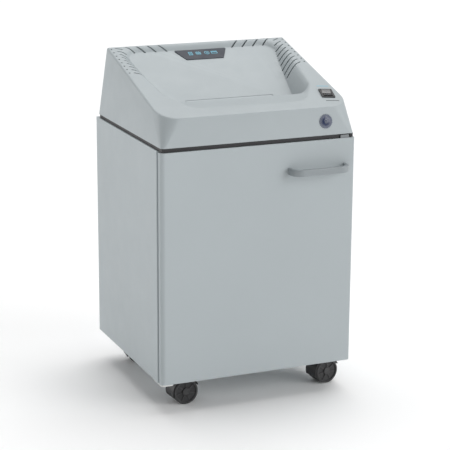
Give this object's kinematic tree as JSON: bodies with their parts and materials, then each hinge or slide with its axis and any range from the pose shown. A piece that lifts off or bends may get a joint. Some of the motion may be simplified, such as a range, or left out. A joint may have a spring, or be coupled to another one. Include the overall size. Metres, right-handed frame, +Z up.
{
  "type": "paper shredder",
  "caption": "Wheeled office paper shredder: grey cabinet with a hinged door and pull, sloping cutting head with feed recess, air slots and rocker switch, waste bin inside.",
  "frame": {"origin": "on the floor under the middle of the machine, handle included", "axes": "+X to the right facing the door, +Y to the back, +Z up"},
  "size_m": [0.38, 0.376, 0.63],
  "materials": {
    "grey_laminate": "light grey melamine laminate on chipboard, fine eggshell texture",
    "grey_plastic": "light grey moulded plastic, fine spark texture",
    "handle_plastic": "light grey satin plastic",
    "tongue_plastic": "mid grey plastic",
    "black_plastic": "black moulded plastic",
    "rocker_plastic": "black gloss plastic",
    "red_plastic": "red moulded plastic",
    "navy_gloss": "dark blue-grey printed foil",
    "seal_metal": "serrated metallic rim round a dark blue disc",
    "zinc": "zinc-plated steel",
    "cutter_steel": "hardened steel, oiled",
    "rotor_steel": "ground steel",
    "bronze": "sintered bronze",
    "nylon": "natural nylon",
    "motor_paint": "black enamelled steel tube",
    "cast_aluminium": "die-cast aluminium",
    "copper": "enamelled windings in a laminated core",
    "capacitor_can": "drawn aluminium can",
    "circuit_board": "green solder mask",
    "bin_plastic": "black polypropylene",
    "caster_plastic": "black nylon",
    "wheel_tyre": "black nylon wheel"
  },
  "bodies": {
    "cabinet": {"left_side_panel": "grey_laminate", "right_side_panel": "grey_laminate", "back_panel": "grey_laminate", "back_screws": "zinc", "bottom_panel": "grey_laminate", "pivot_pins": "zinc", "pivot_bracket": "zinc", "magnet_catch": "black_plastic", "interlock_switch": "black_plastic", "base_frame": "black_plastic", "head_cover": "grey_plastic", "badge_plate": "navy_gloss", "round_badge": "seal_metal", "switch_body": "black_plastic", "flap_pin": "zinc", "throat_funnel": "black_plastic", "cutter_plate_left": "zinc", "cutter_plate_right": "zinc", "shaft_bushes": "bronze", "tie_rods": "zinc", "front_stripper": "black_plastic", "rear_stripper": "black_plastic", "cluster_shaft": "zinc", "gear_plate": "zinc", "motor_casing": "motor_paint", "motor_end_bell": "cast_aluminium", "motor_bracket": "zinc", "motor_stator": "copper", "capacitor": "capacitor_can", "board_posts": "nylon", "control_board": "circuit_board", "power_inlet": "black_plastic", "waste_bin": "bin_plastic", "caster_sockets": "zinc"},
    "door": {"door_panel": "grey_laminate", "pivot_bushes": "black_plastic", "door_handle": "handle_plastic", "handle_screws": "zinc", "strike_plate": "zinc", "interlock_tongue": "tongue_plastic"},
    "rocker": {"switch_rocker": "rocker_plastic"},
    "flap": {"throat_flap": "grey_plastic"},
    "plunger": {"interlock_plunger": "red_plastic"},
    "front_roller": {"front_cutter": "cutter_steel", "front_sync_gear": "cutter_steel"},
    "rear_roller": {"rear_cutter": "cutter_steel", "rear_sync_gear": "cutter_steel", "main_gear": "nylon"},
    "cluster": {"cluster_gear": "nylon"},
    "rotor": {"motor_rotor": "rotor_steel", "motor_fan": "black_plastic"},
    "fork_front_left": {"caster_hood_front_left": "caster_plastic"},
    "wheels_front_left": {"caster_wheels_front_left": "wheel_tyre"},
    "fork_front_right": {"caster_hood_front_right": "caster_plastic"},
    "wheels_front_right": {"caster_wheels_front_right": "wheel_tyre"},
    "fork_rear_left": {"caster_hood_rear_left": "caster_plastic"},
    "wheels_rear_left": {"caster_wheels_rear_left": "wheel_tyre"},
    "fork_rear_right": {"caster_hood_rear_right": "caster_plastic"},
    "wheels_rear_right": {"caster_wheels_rear_right": "wheel_tyre"}
  },
  "joints": [
    {"name": "door_hinge", "type": "hinge", "parent": "cabinet", "child": "door", "pos_m": [-0.1805, -0.1505, 0.27375], "axis": [0, 0, -1], "range_deg": [0, 115]},
    {"name": "rocker_tilt", "type": "hinge", "parent": "cabinet", "child": "rocker", "pos_m": [0.1595, -0.10168, 0.55865], "axis": [0.9816, -0.1836, -0.0519], "range_deg": [-9, 9]},
    {"name": "flap_swing", "type": "hinge", "parent": "cabinet", "child": "flap", "pos_m": [0, -0.0235, 0.54279], "axis": [1, 0, 0], "range_deg": [0, 10], "stiffness_Nm_per_rad": 0.05, "springref_deg": -20.05},
    {"name": "interlock_travel", "type": "slide", "parent": "cabinet", "child": "plunger", "axis": [0, 1, 0], "range_m": [0, 0.0015], "stiffness_N_per_m": 200, "springref_m": -0.001},
    {"name": "rear_cutter_spin", "type": "hinge", "parent": "cabinet", "child": "rear_roller", "pos_m": [0, -0.0435, 0.496], "axis": [1, 0, 0], "continuous": true},
    {"name": "front_cutter_spin", "type": "hinge", "parent": "cabinet", "child": "front_roller", "pos_m": [0, -0.0765, 0.496], "axis": [1, 0, 0], "continuous": true},
    {"name": "cluster_spin", "type": "hinge", "parent": "cabinet", "child": "cluster", "pos_m": [0, 0.0025, 0.52428], "axis": [1, 0, 0], "continuous": true},
    {"name": "motor_spin", "type": "hinge", "parent": "cabinet", "child": "rotor", "pos_m": [0, 0.0475, 0.536], "axis": [1, 0, 0], "continuous": true},
    {"name": "swivel_front_left", "type": "hinge", "parent": "cabinet", "child": "fork_front_left", "pos_m": [-0.145, -0.105, 0.06], "axis": [0, 0, 1], "continuous": true},
    {"name": "roll_front_left", "type": "hinge", "parent": "fork_front_left", "child": "wheels_front_left", "pos_m": [-0.12702, -0.10406, 0.024], "axis": [0.0523, -0.9986, 0], "continuous": true},
    {"name": "swivel_front_right", "type": "hinge", "parent": "cabinet", "child": "fork_front_right", "pos_m": [0.145, -0.105, 0.06], "axis": [0, 0, 1], "continuous": true},
    {"name": "roll_front_right", "type": "hinge", "parent": "fork_front_right", "child": "wheels_front_right", "pos_m": [0.16278, -0.10218, 0.024], "axis": [0.1564, -0.9877, 0], "continuous": true},
    {"name": "swivel_rear_left", "type": "hinge", "parent": "cabinet", "child": "fork_rear_left", "pos_m": [-0.145, 0.14, 0.06], "axis": [0, 0, 1], "continuous": true},
    {"name": "roll_rear_left", "type": "hinge", "parent": "fork_rear_left", "child": "wheels_rear_left", "pos_m": [-0.1271, 0.13812, 0.024], "axis": [-0.1045, -0.9945, 0], "continuous": true},
    {"name": "swivel_rear_right", "type": "hinge", "parent": "cabinet", "child": "fork_rear_right", "pos_m": [0.145, 0.14, 0.06], "axis": [0, 0, 1], "continuous": true},
    {"name": "roll_rear_right", "type": "hinge", "parent": "fork_rear_right", "child": "wheels_rear_right", "pos_m": [0.16293, 0.14157, 0.024], "axis": [0.0872, -0.9962, 0], "continuous": true}
  ],
  "couplings": [
    {"joint": "front_cutter_spin", "follows": "rear_cutter_spin", "ratio": -1},
    {"joint": "cluster_spin", "follows": "rear_cutter_spin", "ratio": -5},
    {"joint": "motor_spin", "follows": "rear_cutter_spin", "ratio": 20.833}
  ]
}
